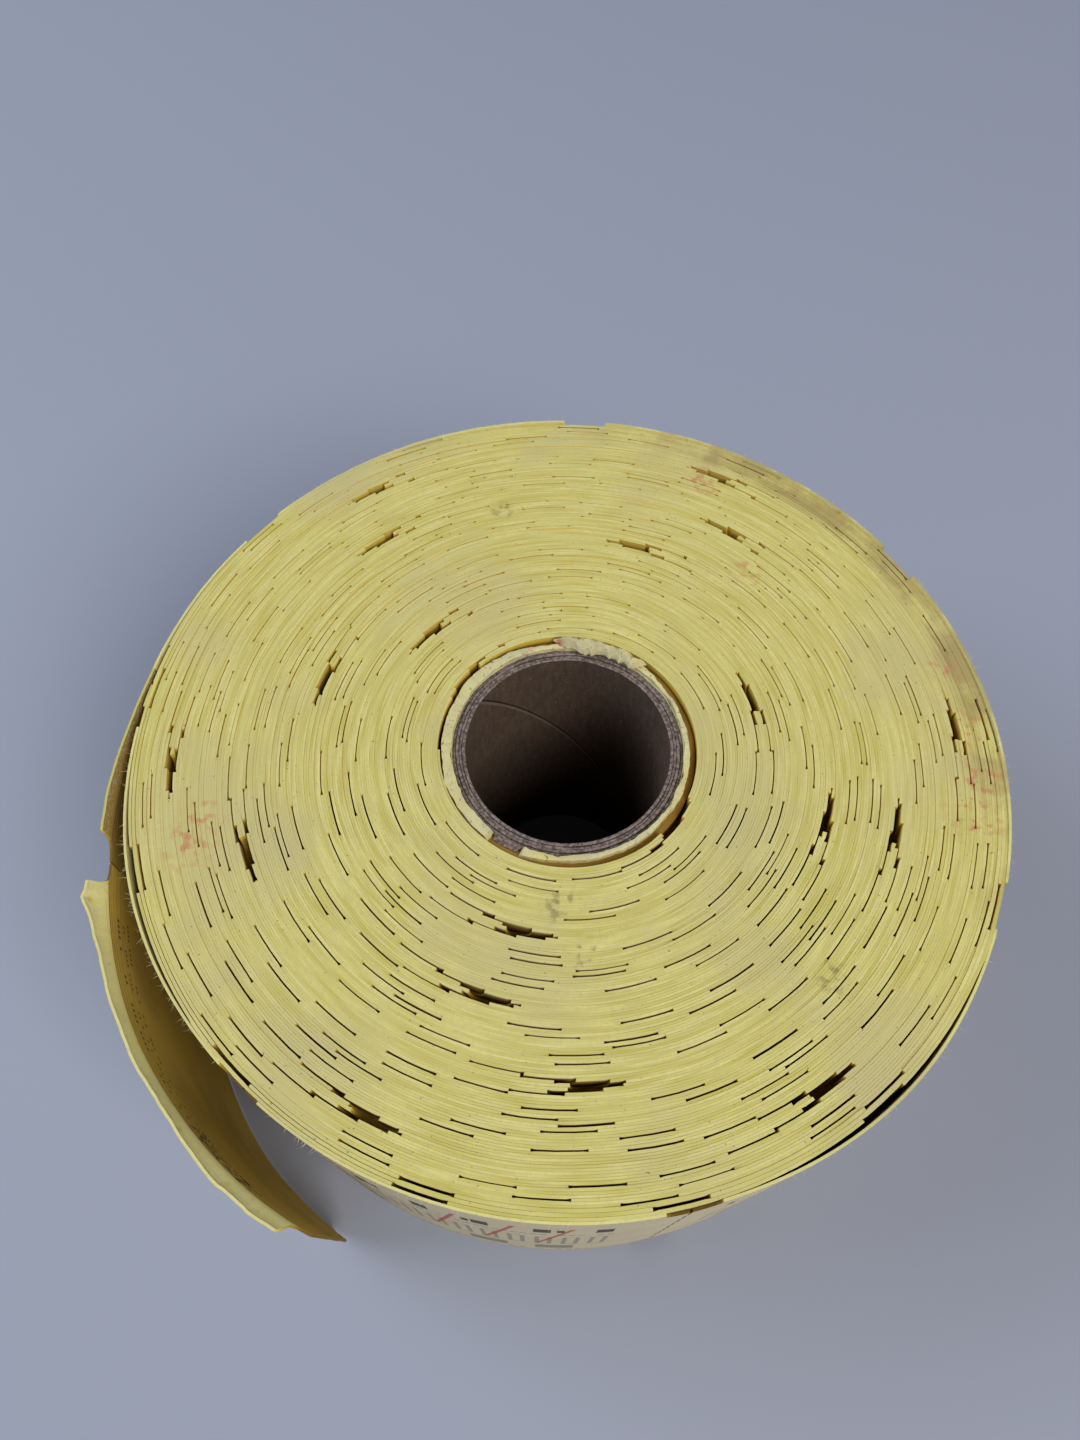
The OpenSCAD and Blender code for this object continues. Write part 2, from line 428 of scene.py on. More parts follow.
def printed_blocks(nodes, along, up, low, high, start, end, cell, fill, skip, seed):
    """A row of plain blocks, some left out at random, between two heights on the ticket."""
    on_ticket = place_on_ticket(nodes, along)
    row = nodes.between(up, low, high)
    span = nodes.between(on_ticket, start, end)
    steps = nodes.math("DIVIDE", on_ticket, cell)
    block = nodes.math("LESS_THAN", nodes.math("FRACT", steps), fill)
    choice = nodes.new("ShaderNodeTexWhiteNoise", noise_dimensions="1D")
    number = nodes.math("ADD", nodes.math("FLOOR", steps), seed)
    nodes.plug(number, choice.inputs["W"])
    kept = nodes.math("GREATER_THAN", choice.outputs["Value"], skip)
    mask = nodes.math("MULTIPLY", row, span)
    return nodes.math("MULTIPLY", mask, nodes.math("MULTIPLY", block, kept))


def printed_frame(nodes, along, up, start, end, low, high, line):
    """The outline of a rectangle on the ticket."""
    on_ticket = place_on_ticket(nodes, along)
    outside = nodes.math(
        "MULTIPLY", nodes.between(on_ticket, start, end), nodes.between(up, low, high)
    )
    inside = nodes.math(
        "MULTIPLY",
        nodes.between(on_ticket, start + line, end - line),
        nodes.between(up, low + line, high - line),
    )
    return nodes.math("SUBTRACT", outside, inside)


def printed_slashes(nodes, along, up, low, high, step, width):
    """A few slanting strokes near the middle of the ticket"""
    slant = nodes.math("ADD", along, nodes.math("MULTIPLY", up, -0.14))
    on_ticket = place_on_ticket(nodes, slant)
    share = nodes.math("FRACT", nodes.math("DIVIDE", on_ticket, step))
    stroke = nodes.math("LESS_THAN", share, width)
    stroke = nodes.math("MULTIPLY", stroke, nodes.between(on_ticket, 18.0, 34.0))
    return nodes.math("MULTIPLY", stroke, nodes.between(up, low, high))


def printed_face_material():
    """The outer, printed face: plain bars, blocks and boxes in place of words"""
    nodes = Nodes("card_printed_face")
    along, up = nodes.strip_place()
    cloud = nodes.ramp(nodes.noise(140, 4.0), 0.3, 0.8)
    color = nodes.mix(cloud, FACE_CREAM, darkened(FACE_CREAM, 0.9))
    rows = [
        # low, high, start, end, cell, fill, skip, seed, ink
        (36.8, 42.0, 4, 47, 6.9, 0.28, 0.15, 3, INK_BLACK),
        (37.6, 41.2, 4, 47, 5.3, 0.16, 0.55, 12, INK_BLACK),
        (33.0, 33.9, 6, 45, 1.1, 0.75, 0.12, 23, INK_GREY),
        (5.0, 12.0, 8, 43, 8.7, 0.58, 0.2, 31, INK_GREY),
        (1.6, 2.6, 8, 42, 1.3, 0.7, 0.15, 43, INK_GREY),
    ]
    for low, high, start, end, cell, fill, skip, seed, ink in rows:
        mask = printed_blocks(nodes, along, up, low, high, start, end, cell, fill, skip, seed)
        color = nodes.tint(color, mask, 0.88, ink)
    for box in range(12):
        start = 5.0 + 3.3 * box
        mask = printed_frame(nodes, along, up, start, start + 2.1, 15.5, 29.0, 0.55)
        color = nodes.tint(color, mask, 0.75, INK_GREY)
    red = printed_slashes(nodes, along, up, 16.0, 43.0, 6.5, 0.085)
    color = nodes.tint(color, red, 0.8, INK_RED)
    worn = nodes.ramp(nodes.noise(420, 5.0, roughness=0.7), 0.62, 0.74)
    color = nodes.tint(color, worn, 0.5, FACE_CREAM)
    fibre_bump(nodes)
    return nodes.finish(color)


# Rows of small marks on the inner face: lower and upper edge, width of a mark, and seed
MARK_ROWS = [(44.6, 45.3, 0.7, 5), (42.9, 43.4, 0.6, 13), (41.3, 41.8, 0.6, 19)]


def tail_inner_material():
    """The yellow inner face of the free end, with rows of small marks under its top edge"""
    nodes = Nodes("card_inner_face")
    along, up = nodes.strip_place()
    cloud = nodes.ramp(nodes.noise(110, 4.0), 0.3, 0.75)
    color = nodes.mix(cloud, FACE_YELLOW, rgb(206, 176, 84))
    # Painted shade: where Tone is low the face turns to FACE_SHADED, most on the peeled ticket
    color = nodes.mix(nodes.tone(), FACE_SHADED, color)
    for low, high, cell, seed in MARK_ROWS:
        mask = printed_blocks(nodes, along, up, low, high, 6, 44, cell, 0.55, 0.4, seed)
        color = nodes.tint(color, mask, 0.75, INK_BLACK)
    for below in (3.1, 3.9, 5.0, 6.4):
        line = nodes.between(up, STRIP_W - below - 0.12, STRIP_W - below)
        color = nodes.tint(color, line, 0.6, DIRT)
    creased = nodes.between(up, STRIP_W - 2.65, STRIP_W - 2.35)
    color = nodes.tint(color, creased, 0.6, DIRT)
    edge = nodes.ramp(up, STRIP_W - 2.5, STRIP_W - 2.1)
    rubbed = nodes.ramp(nodes.noise(700, 4.0), 0.2, 0.42)
    # The pale rubbed edge fades out under that painted shade.
    rubbed = nodes.math("MULTIPLY", rubbed, nodes.ramp(nodes.tone(), 0.3, 0.8))
    color = nodes.mix(nodes.math("MULTIPLY", edge, rubbed), color, EDGE_PALE)
    fuzz = nodes.ramp(nodes.noise(2800, 4.0), 0.46, 0.60)
    fuzz = nodes.math("MULTIPLY", fuzz, nodes.ramp(up, STRIP_W - 2.6, STRIP_W))
    color = nodes.tint(color, fuzz, 0.5, FACE_CREAM)
    smudge = nodes.ramp(nodes.noise(260, 5.0, roughness=0.7), 0.60, 0.75)
    color = nodes.tint(color, smudge, 0.45, DIRT)
    near_end = nodes.math("SUBTRACT", along, (OUTER_TICKETS + 2) * TICKET_PITCH)
    blot = nodes.between(near_end, 33.0, 43.0)
    blot = nodes.math("MULTIPLY", blot, nodes.between(up, 41.0, 47.6))
    broken = nodes.ramp(nodes.noise(1100, 4.0), 0.50, 0.58)
    blot = nodes.math("MULTIPLY", blot, broken)
    color = nodes.tint(color, blot, 0.8, INK_BLACK)
    fibre_bump(nodes)
    return nodes.finish(color)


SEAM_LEAD = 120.0  # rise of the core's winding in one turn
SEAM_RIM_ANGLE = 150  # where the seam meets the rim
SEAM_START = 0.5 - SEAM_RIM_ANGLE / 360 + STRIP_W / SEAM_LEAD


def board_material(name, ground, seam):
    """Grey-brown core board, with the seam of its spiral winding where seam is true"""
    nodes = Nodes(name, roughness=0.9)
    fibres = nodes.noise(1, 5.0, vector=nodes.stretched(1500, 1500, 420))
    color = nodes.mix(nodes.ramp(fibres, 0.3, 0.75), darkened(ground, 0.72), ground)
    fleck = nodes.ramp(nodes.noise(3200, 2.0), 0.66, 0.74)
    color = nodes.tint(color, fleck, 0.5, rgb(176, 160, 138))
    height = fibres
    if seam:
        place = nodes.split(nodes.position())
        turn = nodes.math("ARCTAN2", place["Y"], place["X"])
        share = nodes.math("DIVIDE", turn, 2 * math.pi)
        climb = nodes.math("DIVIDE", place["Z"], SEAM_LEAD * MM)
        winding = nodes.math("ADD", nodes.math("SUBTRACT", share, climb), 10 + SEAM_START)
        spiral = nodes.math("FRACT", winding)
        dark = nodes.between(spiral, 0.5, 0.5 + 0.5 / SEAM_LEAD)
        light = nodes.between(spiral, 0.5 + 0.5 / SEAM_LEAD, 0.5 + 1.2 / SEAM_LEAD)
        color = nodes.tint(color, dark, 0.75, rgb(20, 15, 12))
        color = nodes.tint(color, light, 0.35, rgb(150, 130, 112))
        height = nodes.math("SUBTRACT", fibres, nodes.math("MULTIPLY", dark, 2.0))
    # Faces that point up or down turn a lighter grey-brown: partly the board's cut edge, partly painted light on
    # the tops of the plies.
    normal = nodes.new("ShaderNodeNewGeometry").outputs["Normal"]
    cut = nodes.ramp(nodes.math("ABSOLUTE", nodes.split(normal)["Z"]), 0.35, 0.8)
    grain = nodes.ramp(nodes.noise(2600, 4.0), 0.35, 0.65)
    cut_and_lit_color = nodes.mix(grain, rgb(96, 80, 73), rgb(150, 134, 125))
    color = nodes.mix(cut, color, cut_and_lit_color)
    nodes.bump(height, 0.5, 0.12)
    return nodes.finish(color)


def starter_material():
    """Cream starter paper, rubbed and speckled along its top"""
    nodes = Nodes("starter_paper", roughness=0.9)
    cloud = nodes.ramp(nodes.noise(260, 4.0), 0.35, 0.7)
    color = nodes.mix(cloud, rgb(224, 214, 156), rgb(204, 194, 150))
    pink = nodes.math("MULTIPLY", stain_spots(nodes, COLLAR_SPOTS), 0.9)
    yellow = nodes.ramp(nodes.noise(120, 2.0), 0.5, 0.7)
    color = nodes.tint(color, yellow, 0.6, rgb(222, 204, 118))
    color = nodes.mix(pink, color, rgb(206, 120, 104))
    speck = nodes.ramp(nodes.noise(2300, 2.0), 0.63, 0.70)
    color = nodes.tint(color, speck, 0.6, rgb(92, 78, 58))
    nodes.bump(nodes.noise(1500, 4.0), 0.5, 0.12)
    return nodes.finish(color)


def glue_material():
    """Dried amber glue: thin and thick along the brush strokes, with small bubbles"""
    nodes = Nodes("dried_glue", roughness=0.38, specular=0.5)
    strokes = nodes.noise(1, 3.0, vector=nodes.stretched(300, 300, 40))
    color = nodes.mix(nodes.ramp(strokes, 0.3, 0.7), rgb(150, 104, 48), rgb(196, 158, 92))
    bubble = nodes.ramp(nodes.noise(1900, 2.0), 0.66, 0.72)
    color = nodes.tint(color, bubble, 0.5, rgb(216, 190, 140))
    height = nodes.math("ADD", strokes, nodes.math("MULTIPLY", bubble, -0.4))
    nodes.bump(height, 0.5, 0.08)
    return nodes.finish(color)


EDGE = wound_edge_material()
WOUND_FACE = wound_face_material()
PRINTED_FACE = printed_face_material()
TAIL_INNER = tail_inner_material()
FIBRE = card_face_material("card_fibre", rgb(226, 218, 178))
STARTER = starter_material()
CHIP_BOARD = board_material("torn_board", rgb(128, 100, 66), seam=False)
# Painted shade, orange-brown, for the gap between the starter collar and the wound card
GAP_SHADE = card_face_material("loose_turn", rgb(158, 122, 54))

# ---------------------------------------------------------------- the wound strip

STATION_ANGLE = 2.5
NOTCH_SHARES = [0.0, 0.45, 0.75, 0.92, 0.985, 1.0]
SWELL_ENDS = [0.82, 0.93, 1.0]  # shares of a notch over which its neighbours swell into it
TURN_LOOSE = 0.27  # how far the last few turns together have eased outward


def strip_length_at(r):
    """Length of strip wound inside radius r, if the winding went on to the axis"""
    return math.pi * r * r / CARD_T


def radius_at(length):
    return np.sqrt(np.asarray(length) * CARD_T / math.pi)


def notch_depth(offset):
    """How deep the notch is at a distance along the strip from its perforation"""
    return np.clip(NOTCH_R**3 - np.abs(offset) ** 3, 0, None) ** (1 / 3)


def notch_place(r):
    """Number of the nearest perforation, and the distance along the strip from it, at radius r"""
    length = strip_length_at(1.0) * r * r - NOTCH_PHASE_S
    number = np.floor(length / TICKET_PITCH + 0.5)
    return number, length - number * TICKET_PITCH


def swelling(r, angle):
    """How far a turn swells into the notch in the neighbouring turn at radius r"""
    number, offset = notch_place(r)
    inside = (NOTCH_R - np.abs(offset)) / (NOTCH_R * (1 - SWELL_ENDS[0]))
    amount = 0.088 + 0.026 * np.sin(angle) + 0.05 * wobbles(number * 3.7, 1.0, np.zeros_like(r))
    return np.clip(amount, 0, 0.13) * smoothstep(inside)


def stations(inner_r, outer_r):
    """Radii of the cross-sections of the strip between two radii: even steps, and every notch"""
    first = math.ceil(inner_r * 360 / CARD_T / STATION_ANGLE)
    last = math.floor(outer_r * 360 / CARD_T / STATION_ANGLE)
    radii = [inner_r, outer_r]
    radii.extend(np.arange(first, last + 1) * STATION_ANGLE * CARD_T / 360)
    low, high = strip_length_at(inner_r), strip_length_at(outer_r)
    for number in range(math.floor(low / TICKET_PITCH), math.ceil(high / TICKET_PITCH) + 1):
        centre = number * TICKET_PITCH + NOTCH_PHASE_S
        for share in NOTCH_SHARES:
            for side in (-1, 1):
                length = centre + side * share * NOTCH_R
                if low < length < high:
                    radii.append(float(radius_at(length)))
        for share in SWELL_ENDS:
            for side in (-1, 1):
                at_end = float(radius_at(centre + side * share * NOTCH_R))
                for neighbour in (at_end - CARD_T, at_end + CARD_T):
                    if inner_r < neighbour < outer_r:
                        radii.append(neighbour)
    return np.unique(np.round(radii, 7))


def wound_heights(turns, angle, r):
    """How far each turn's edge lies below the strip's full width, top and bottom"""
    top = 0.10 + 0.10 * wobbles(turns * 1.7, np.sin(angle) * 0.5, np.cos(angle) * 0.5)
    top += 0.06 * wobbles(turns * 9.1 + 40, np.sin(angle), np.cos(angle))
    bottom = 0.08 + 0.08 * wobbles(turns * 1.9 + 90, np.sin(angle) * 0.5, np.cos(angle) * 0.5)
    sunk = smoothstep((r - 50.2) / 0.6) * smoothstep(np.cos(angle - math.radians(52)) * 2.2 - 0.6)
    return np.clip(top, 0, 1) + 0.45 * sunk, np.clip(bottom, 0.01, 1)


def left_side(angle):
    """1 on the left of the roll, 0 on the right"""
    return smoothstep(np.cos(angle - math.radians(205)) * 1.8 - 0.7)


def wound_band(node, inner_r, outer_r):
    """The strip between two radii as one true spiral, with the notches in both its edges"""
    r = stations(inner_r, outer_r)
    turns = r / CARD_T
    whole = np.floor(turns)
    angle = math.radians(NOTCH_PHASE_ANGLE) + 2 * math.pi * turns
    length = strip_length_at(1.0) * r * r
    depth = notch_depth(notch_place(r)[1])
    top_drop, bottom_drop = wound_heights(turns, angle, r)

    def easing(at):
        return TURN_LOOSE * smoothstep((at - (PACK_R - 4 * CARD_T)) / (3.4 * CARD_T))

    inside_fade = smoothstep((r - PACK_START_R) / 3) * smoothstep((PACK_R - 1 - r) / 3)
    x, y = polar(np.degrees(angle), r)
    ripple = 0.16 * inside_fade * wobbles(x * 0.09, y * 0.09, 3.0)
    ripple += 0.035 * inside_fade * wobbles(x * 0.35, y * 0.35, 9.0)
    middle = r + easing(r) + ripple
    # Where the turns have eased apart the card is drawn thicker, save for a gap on the left.
    spread = easing(r + CARD_T / 2) - easing(r - CARD_T / 2)
    half = CARD_DRAWN_T / 2 + spread / 2 * (1 - 0.45 * left_side(angle))
    inside = middle - half - swelling(r - CARD_T, angle)
    outside = middle + half + swelling(r + CARD_T, angle)

    rings = []
    for radius, up in ((inside, 0), (inside, 1), (outside, 1), (outside, 0)):
        px, py = radius * np.cos(angle), radius * np.sin(angle)
        pz = STRIP_W - top_drop - depth if up else bottom_drop + depth
        rings.append(np.stack([px, py, pz], 1))
    points = np.stack(rings, 1).reshape(-1, 3)

    faces, kinds = [], []
    for i in range(len(r) - 1):
        a, b = 4 * i, 4 * (i + 1)
        for side in range(4):
            after = (side + 1) % 4
            faces.append((a + side, a + after, b + after, b + side))
            kinds.append(1 if side == 2 else 0)
    last = 4 * (len(r) - 1)
    faces += [(3, 2, 1, 0), (last, last + 1, last + 2, last + 3)]
    kinds += [0, 0]
    piece = make_piece(node + "_wound", points, faces, "roll", node, [EDGE, WOUND_FACE], kinds)
    tones = 0.52 + 0.26 * wobbles(whole * 7.3 + 0.4, np.sin(angle) * 1.4, np.cos(angle) * 1.4)
    tones += 0.42 * wobbles(whole * 3.3, length * 0.22, np.full_like(whole, 7.0))
    set_tone(piece, np.repeat(tones, 4))


def wind_roll():
    """Winds every band. The last one stops at the angle where the outer tickets begin."""
    inner_r = PACK_START_R + CARD_T / 2
    turns_to_start = math.floor(PACK_R / CARD_T - 0.2)
    start_share = ((START_ANGLE - NOTCH_PHASE_ANGLE) / 360) % 1
    end_r = (turns_to_start - 1 + start_share) * CARD_T
    while end_r + CARD_T < PACK_R:
        end_r += CARD_T
    for node in BANDS:
        outer_r = end_r if node == BANDS[-1] else outer_radius(node)
        wound_band(node, inner_r, outer_r)
        inner_r = outer_r


# ---------------------------------------------------------------- single tickets


class Path:
    """The middle of the card along one stretch: an angle and a radius at each share of it."""

    def __init__(self, from_angle, to_angle, radius):
        shares = np.linspace(0, 1, 241)
        x, y = polar(from_angle + (to_angle - from_angle) * shares, radius(shares))
        steps = np.hypot(np.diff(x), np.diff(y))
        self.lengths = np.concatenate([[0], np.cumsum(steps)])
        self.x, self.y = x, y
        self.length = self.lengths[-1]

    def at(self, s):
        """Points, and the outward direction there, at distances s along the path"""
        s = np.asarray(s)
        step = 0.2
        x, y = np.interp(s, self.lengths, self.x), np.interp(s, self.lengths, self.y)
        before, after = np.clip(s - step, 0, self.length), np.clip(s + step, 0, self.length)
        dx = np.interp(after, self.lengths, self.x) - np.interp(before, self.lengths, self.x)
        dy = np.interp(after, self.lengths, self.y) - np.interp(before, self.lengths, self.y)
        size = np.hypot(dx, dy)
        return x, y, dy / size, -dx / size


def column_lengths(length, start_notch, end_notch):
    """Distances along a ticket at which it has a column of vertices, closer at its notches"""
    columns = list(np.arange(0, length, 0.8)) + [length]
    near = [share * NOTCH_R for share in NOTCH_SHARES] + [SLIT_W / 2]
    if start_notch:
        columns += near
    if end_notch:
        columns += [length - d for d in near]
    low = SLIT_W / 2 if start_notch else 0
    high = length - SLIT_W / 2 if end_notch else length
    columns = [c for c in columns if low <= c <= high] + [low, high]
    return np.unique(np.round(columns, 4))


TIE_REACH = SLIT_W / 2 + 0.02  # from the middle of a slit into the card beside it


def tie_rows():
    """Lower and upper ends of the ties of a perforation line"""
    step = (STRIP_W - 2 * SLIT_START + TIE_H) / SLITS
    tops = [SLIT_START + step * (i + 1) for i in range(SLITS - 1)]
    return [(top - TIE_H, top) for top in tops]


def rim_of(columns, rows):
    """The outer edge of a grid of vertices, in order round it"""
    rim = [(i, 0) for i in range(columns)]
    rim += [(columns - 1, j) for j in range(1, rows)]
    rim += [(i, rows - 1) for i in range(columns - 2, -1, -1)]
    rim += [(0, j) for j in range(rows - 2, 0, -1)]
    return rim


def add_sheet(points, faces, kinds, uv, path, s, z, lift, pitch_start):
    """Adds a curved sheet of card. s, z and lift are grids: along, up, and off the path outward."""
    rows = s.shape[1]
    base = len(points)
    x, y, nx, ny = path.at(s)
    count = s.size
    for side in (1, -1):
        off = lift + side * CARD_DRAWN_T / 2
        points.extend(np.stack([x + nx * off, y + ny * off, z], -1).reshape(-1, 3).tolist())
        place = np.stack([(pitch_start + s) / TICKET_PITCH, z / STRIP_W], -1)
        uv.extend(place.reshape(-1, 2).tolist())
    columns = s.shape[0]

    def index(i, j, side):
        return base + (0 if side > 0 else count) + i * rows + j

    for i in range(columns - 1):
        for j in range(rows - 1):
            corners = [(i, j), (i + 1, j), (i + 1, j + 1), (i, j + 1)]
            faces.append([index(a, b, 1) for a, b in corners])
            kinds.append(1)
            faces.append([index(a, b, -1) for a, b in reversed(corners)])
            kinds.append(2)
    rim = rim_of(columns, rows)
    for a, b in zip(rim, rim[1:] + rim[:1]):
        faces.append([index(*a, -1), index(*b, -1), index(*b, 1), index(*a, 1)])
        kinds.append(0)


def add_ties(points, faces, kinds, uv, path, from_s, to_s, pitch_start):
    """The uncut ties that join a ticket to its neighbour across half a perforation line"""
    for low, high in tie_rows():
        s, z = np.meshgrid([from_s, to_s], [low, high], indexing="ij")
        add_sheet(points, faces, kinds, uv, path, s, z, np.zeros_like(s), pitch_start)


def ticket_piece(
    name, node, body, path, bottom, start_notch, end_notch, pitch_start, inner,
    shape=None, tone=0.85,
):
    """One ticket as a curved sheet with its notches and its half of the perforation ties.
    shape(s, z) may return changed grids and how far the card stands off its path."""
    columns = column_lengths(path.length, start_notch, end_notch)
    rows = np.linspace(0, 1, 29)
    rows = np.unique(np.concatenate([rows, 1 - np.array([0.008, 0.018, 0.03, 0.045])]))
    depth = np.zeros_like(columns)
    if start_notch:
        depth = np.maximum(depth, notch_depth(columns))
    if end_notch:
        depth = np.maximum(depth, notch_depth(path.length - columns))
    ragged = 0.06 * wobbles((columns + pitch_start) * 1.3, 0.5, np.zeros_like(columns))
    low = np.maximum(bottom, depth) + np.abs(ragged)
    high = STRIP_W - depth - 0.06 + ragged
    s = np.repeat(columns[:, None], len(rows), 1)
    z = low[:, None] + (high - low)[:, None] * rows[None, :]
    lift = np.zeros_like(s)
    if shape is not None:
        s, z, lift = shape(s, z)
    points, faces, kinds, uv = [], [], [], []
    add_sheet(points, faces, kinds, uv, path, s, z, lift, pitch_start)
    if start_notch:
        add_ties(points, faces, kinds, uv, path, 0.0, TIE_REACH, pitch_start)
    if end_notch:
        end = path.length
        add_ties(points, faces, kinds, uv, path, end - TIE_REACH, end, pitch_start)
    piece = make_piece(name, points, faces, body, node, [EDGE, PRINTED_FACE, inner], kinds)
    set_uv(piece, uv)
    # On a ticket Tone is painted shade: the lower it is, the darker its inner face and its edges.
    set_tone(piece, np.full(len(points), tone))
    return piece


def outer_radius_path(number):
    """Radius of an outer ticket's card along it"""

    def radius(share):
        grown = (CARD_T + TURN_GAP) * (number - 1 + share) * TICKET_ANGLE / 360
        return TURN_R + grown + SLACK[number - 1] * np.sin(np.pi * share) ** 2

    return radius


def make_outer_turn():
    for number in range(1, OUTER_TICKETS + 1):
        begin = START_ANGLE + (number - 1) * TICKET_ANGLE
        path = Path(begin, begin + TICKET_ANGLE, outer_radius_path(number))
        ticket_piece(
            f"outer_ticket_{number}_card", f"outer_ticket_{number}", "roll", path,
            0.05, True, True, number * TICKET_PITCH, TAIL_INNER,
        )
    start_r = outer_radius_path(OUTER_TICKETS)(1.0)

    def part_radius(share):
        return start_r + (PEEL_R - start_r) * share**1.5

    path = Path(PEEL_ANGLE - PART_ANGLE, PEEL_ANGLE, part_radius)
    ticket_piece(
        "outer_ticket_part_card", "outer_ticket_part", "roll", path,
        0.05, True, False, (OUTER_TICKETS + 1) * TICKET_PITCH, TAIL_INNER,
    )


# ---------------------------------------------------------------- the peeled end

FLARE_BAND = 2.5  # height of the strip below the top edge that has curled outward


def flared(s, z, amount):
    """How far the curled top edge stands off the card"""
    band = smoothstep((z - (STRIP_W - FLARE_BAND)) / FLARE_BAND)
    flat = np.zeros_like(s)
    uneven = 1 + 0.25 * wobbles(s * 0.22, 4.0, flat) + 0.12 * wobbles(s * 0.9, 8.0, flat)
    return amount * band * uneven


def peeled_shape(s, z):
    amount = 0.35 * smoothstep((s - 6) / 14)
    return s, z, flared(s, z, amount)


def end_shape(s, z):
    """The last ticket: curled along its top, buckled, and torn askew at its far end"""
    length = s.max()
    share = s / length
    height = z / STRIP_W
    tear = TEAR_SLANT * (1 - height) + 0.35 * np.abs(wobbles(z * 1.6, 2.0, np.zeros_like(z)))
    notched = np.sqrt(np.clip(TORN_CORNER_R**2 - (STRIP_W - z) ** 2, 0, None))
    low_corner = 0.9 * np.sqrt(np.clip(NOTCH_R**2 - z**2, 0, None))
    s = s - (tear + notched + low_corner) * share**6
    ear = 0.9 * np.exp(-(((s - 5.2) / 1.9) ** 2))
    slighter = 0.6 * smoothstep((s - 7) / 6) * (1 - smoothstep((s - 30) / 12))
    amount = (1.25 + ear - slighter) * smoothstep((s + 0.5) / 3)
    lift = flared(s, z, amount)
    lift += 0.25 * np.sin(np.pi * share) * wobbles(s * 0.06, z * 0.05, np.full_like(s, 2.0))
    return s, z, lift


def edge_fibres(name, body, spots, seed):
    """Short hairs along the card's top edge. Each spot is a point and its outward way."""
    chance = random.Random(seed)
    points, faces = [], []
    for (x, y, z), (nx, ny) in spots:
        length = chance.uniform(0.3, 1.0)
        lean = chance.uniform(-1.0, 1.0)
        way = np.array([nx - ny * lean, ny + nx * lean, chance.uniform(-0.2, 0.9)])
        way *= length / np.linalg.norm(way)
        bend = np.array([chance.uniform(-0.2, 0.2) * length for _ in range(3)])
        base = len(points)
        for step in (0.0, 0.35, 0.7, 1.0):
            middle = np.array([x, y, z]) + way * step + bend * step * step
            half = 0.022 * (1.1 - step)
            points.append((middle + [-ny * half, nx * half, 0]).tolist())
            points.append((middle + [ny * half, -nx * half, 0]).tolist())
            points.append((middle + [0, 0, half * 1.6]).tolist())
        for step in range(3):
            for k in range(3):
                a, b = base + 3 * step + k, base + 3 * step + (k + 1) % 3
                faces.append((a, b, b + 3, a + 3))
        faces.append((base + 9, base + 10, base + 11))
        faces.append((base + 2, base + 1, base))
    return make_piece(name, points, faces, body, None, [FIBRE])


FIBRES = 420


def make_fibres():
    chance = random.Random(SEED + 1)
    spots = []
    for _ in range(FIBRES):
        turned = chance.uniform(0, OUTER_TICKETS)
        number = int(turned) + 1
        r = float(outer_radius_path(number)(turned - int(turned))) + CARD_T / 2 - 0.02
        angle = START_ANGLE + turned * TICKET_ANGLE
        x, y = polar(angle, r)
        nx, ny = polar(angle, 1.0)
        near_notch = min(turned - int(turned), 1 - turned + int(turned)) * TICKET_PITCH
        if near_notch > NOTCH_R + 0.5:
            spots.append(((x, y, STRIP_W - chance.choice([0.1, 0.1, 0.3, 1.5])), (nx, ny)))
    fuzz = edge_fibres("outer_edge_fibres", "roll", spots, SEED)


def make_peeled_end():
    def peeled_radius(share):
        return PEEL_R + (FOLD_R - PEEL_R) * share**1.35

    def end_radius(share):
        return FOLD_R + END_LIFT * np.sin(np.pi / 2 * share)

    peel_path = Path(PEEL_ANGLE, FOLD_ANGLE, peeled_radius)
    end_path = Path(FOLD_ANGLE, FOLD_ANGLE + END_ANGLE, end_radius)
    strip_start = (OUTER_TICKETS + 2) * TICKET_PITCH
    # Tone 0.25 paints shade over the peeled ticket.
    peeled = ticket_piece(
        "peeled_ticket_card", "peeled_ticket", None, peel_path,
        TAIL_BOTTOM, False, True, strip_start - peel_path.length, TAIL_INNER, peeled_shape, 0.25,
    )
    ended = ticket_piece(
        "end_ticket_card", "end_ticket", None, end_path,
        TAIL_BOTTOM, True, False, strip_start, TAIL_INNER, end_shape,
    )

    def on(path, s):
        x, y, _, _ = path.at(s)
        return (float(x) * MM, float(y) * MM, STRIP_W / 2 * MM)

    on(peel_path, 0.0)
    on(peel_path, 1.6)
    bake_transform(peeled)
    on(end_path, 0.0)
    on(end_path, 0.5)
    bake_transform(ended)


# ---------------------------------------------------------------- the core and its paper


